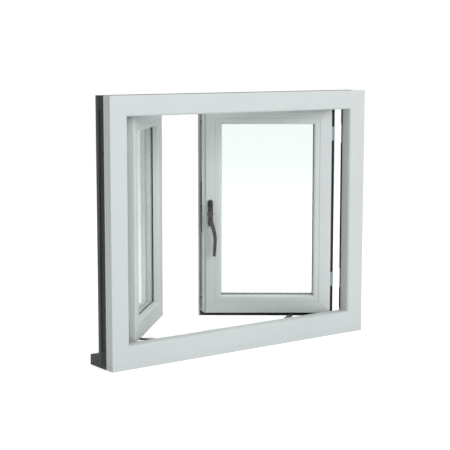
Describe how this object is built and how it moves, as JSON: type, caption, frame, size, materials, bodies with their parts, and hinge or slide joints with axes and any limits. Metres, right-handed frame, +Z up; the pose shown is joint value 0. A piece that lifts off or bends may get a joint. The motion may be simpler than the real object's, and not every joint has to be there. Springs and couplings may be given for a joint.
{
  "type": "casement window",
  "caption": "Double outward-opening casement window on a sill: white room side, dark outdoor side, sealed glass, sashes on friction stays, cranked lock handle on one sash.",
  "frame": {"origin": "underside of the sill, at the middle of the window's width and the middle of the outer frame's depth", "axes": "+X to the right seen from the room, +Y outdoors, +Z up"},
  "size_m": [0.85, 0.3512, 0.7],
  "materials": {
    "frame_white": "satin powder coat, cool white",
    "sash_white": "satin powder coat, cool white",
    "anthracite": "fine-texture powder coat, dark grey",
    "polyamide": "glass-filled polyamide, black",
    "gasket": "extruded EPDM rubber, black",
    "glass": "clear float glass",
    "spacer_aluminium": "mill finish",
    "cast_aluminium": "cast, raw",
    "packer_plastic": "moulded",
    "handle_pewter": "dark pewter lacquer, satin",
    "black_plastic": "moulded, low gloss",
    "lock_dark_steel": "dark passivated steel",
    "zinc": "cast zinc, plated",
    "stainless": "rolled stainless steel"
  },
  "bodies": {
    "frame": {"frame_head": "frame_white", "frame_bottom": "frame_white", "frame_jamb_left": "frame_white", "frame_jamb_right": "frame_white", "frame_thermal_break": "polyamide", "frame_outer_profiles": "anthracite", "frame_corner_cleats": "cast_aluminium", "frame_gasket": "gasket", "sill": "anthracite", "sill_end_caps": "anthracite", "sill_inner_trim": "frame_white", "stay_tracks_left": "stainless", "stay_tracks_right": "stainless", "jamb_infill_strips": "polyamide", "hinge_dogs_frame": "zinc", "bolt_keeps": "stainless"},
    "sash_right": {"right_top_rail": "sash_white", "right_bottom_rail": "sash_white", "right_hinge_stile": "sash_white", "right_meeting_stile": "sash_white", "right_thermal_break": "polyamide", "right_outer_profiles": "anthracite", "right_glass_panes": "glass", "right_spacer": "spacer_aluminium", "right_beads": "sash_white", "right_gaskets": "gasket", "right_weather_seal": "gasket", "right_packers": "packer_plastic", "right_sash_bars": "stainless", "right_hinge_dogs": "zinc", "astragal": "sash_white", "espag_faceplate": "lock_dark_steel", "espag_gearbox": "stainless", "handle_base": "handle_pewter", "handle_cap": "black_plastic"},
    "sash_left": {"left_top_rail": "sash_white", "left_bottom_rail": "sash_white", "left_hinge_stile": "sash_white", "left_meeting_stile": "sash_white", "left_thermal_break": "polyamide", "left_outer_profiles": "anthracite", "left_glass_panes": "glass", "left_spacer": "spacer_aluminium", "left_beads": "sash_white", "left_gaskets": "gasket", "left_weather_seal": "gasket", "left_packers": "packer_plastic", "left_sash_bars": "stainless", "left_hinge_dogs": "zinc", "meeting_bar": "sash_white"},
    "stay_arms_right": {"stay_arms_right": "stainless"},
    "stay_arms_left": {"stay_arms_left": "stainless"},
    "stay_shoes_right": {"stay_shoes_right": "black_plastic"},
    "stay_shoes_left": {"stay_shoes_left": "black_plastic"},
    "handle": {"handle_lever": "handle_pewter", "handle_spindle": "stainless"},
    "lock_button": {"lock_button": "black_plastic"},
    "drive_bar": {"espag_drive_bar": "stainless"},
    "bolt_top": {"shoot_bolt_top": "stainless"},
    "bolt_bottom": {"shoot_bolt_bottom": "stainless"}
  },
  "joints": [
    {"name": "sash_right_swing", "type": "hinge", "parent": "stay_arms_right", "child": "sash_right", "pos_m": [0.26089, 0.08048, 0.355], "axis": [0, 0, -1], "range_deg": [-73, 77]},
    {"name": "stay_arms_right_turn", "type": "hinge", "parent": "frame", "child": "stay_arms_right", "pos_m": [0.1805, 0.021, 0.355], "axis": [0, 0, 1], "range_deg": [-36.5, 38.5]},
    {"name": "stay_shoes_right_turn", "type": "hinge", "parent": "sash_right", "child": "stay_shoes_right", "pos_m": [0.34127, 0.021, 0.355], "axis": [0, 0, 1], "range_deg": [-36.5, 38.5]},
    {"name": "sash_left_swing", "type": "hinge", "parent": "stay_arms_left", "child": "sash_left", "pos_m": [-0.29, 0.0705, 0.355], "axis": [0, 0, 1], "range_deg": [-90, 60]},
    {"name": "stay_arms_left_turn", "type": "hinge", "parent": "frame", "child": "stay_arms_left", "pos_m": [-0.2405, 0.021, 0.355], "axis": [0, 0, -1], "range_deg": [-45, 30]},
    {"name": "stay_shoes_left_turn", "type": "hinge", "parent": "sash_left", "child": "stay_shoes_left", "pos_m": [-0.33949, 0.021, 0.355], "axis": [0, 0, -1], "range_deg": [-45, 30]},
    {"name": "handle_turn", "type": "hinge", "parent": "sash_right", "child": "handle", "pos_m": [0.05169, 0.20293, 0.349], "axis": [-0.5948, -0.8039, 0], "range_deg": [0, 90]},
    {"name": "lock_button_press", "type": "slide", "parent": "handle", "child": "lock_button", "axis": [0.5948, 0.8039, 0], "range_m": [0, 0.0025], "stiffness_N_per_m": 300},
    {"name": "drive_bar_slide", "type": "slide", "parent": "sash_right", "child": "drive_bar", "axis": [0, 0, 1], "range_m": [0, 0.018]},
    {"name": "bolt_top_slide", "type": "slide", "parent": "sash_left", "child": "bolt_top", "axis": [0, 0, 1], "range_m": [0, 0.012]},
    {"name": "bolt_bottom_slide", "type": "slide", "parent": "sash_left", "child": "bolt_bottom", "axis": [0, 0, -1], "range_m": [0, 0.012]}
  ],
  "couplings": [
    {"joint": "stay_arms_right_turn", "follows": "sash_right_swing", "ratio": 0.5},
    {"joint": "stay_shoes_right_turn", "follows": "sash_right_swing", "ratio": 0.5},
    {"joint": "stay_arms_left_turn", "follows": "sash_left_swing", "ratio": 0.5},
    {"joint": "stay_shoes_left_turn", "follows": "sash_left_swing", "ratio": 0.5},
    {"joint": "drive_bar_slide", "follows": "handle_turn", "m_per_rad": 0.011458}
  ]
}
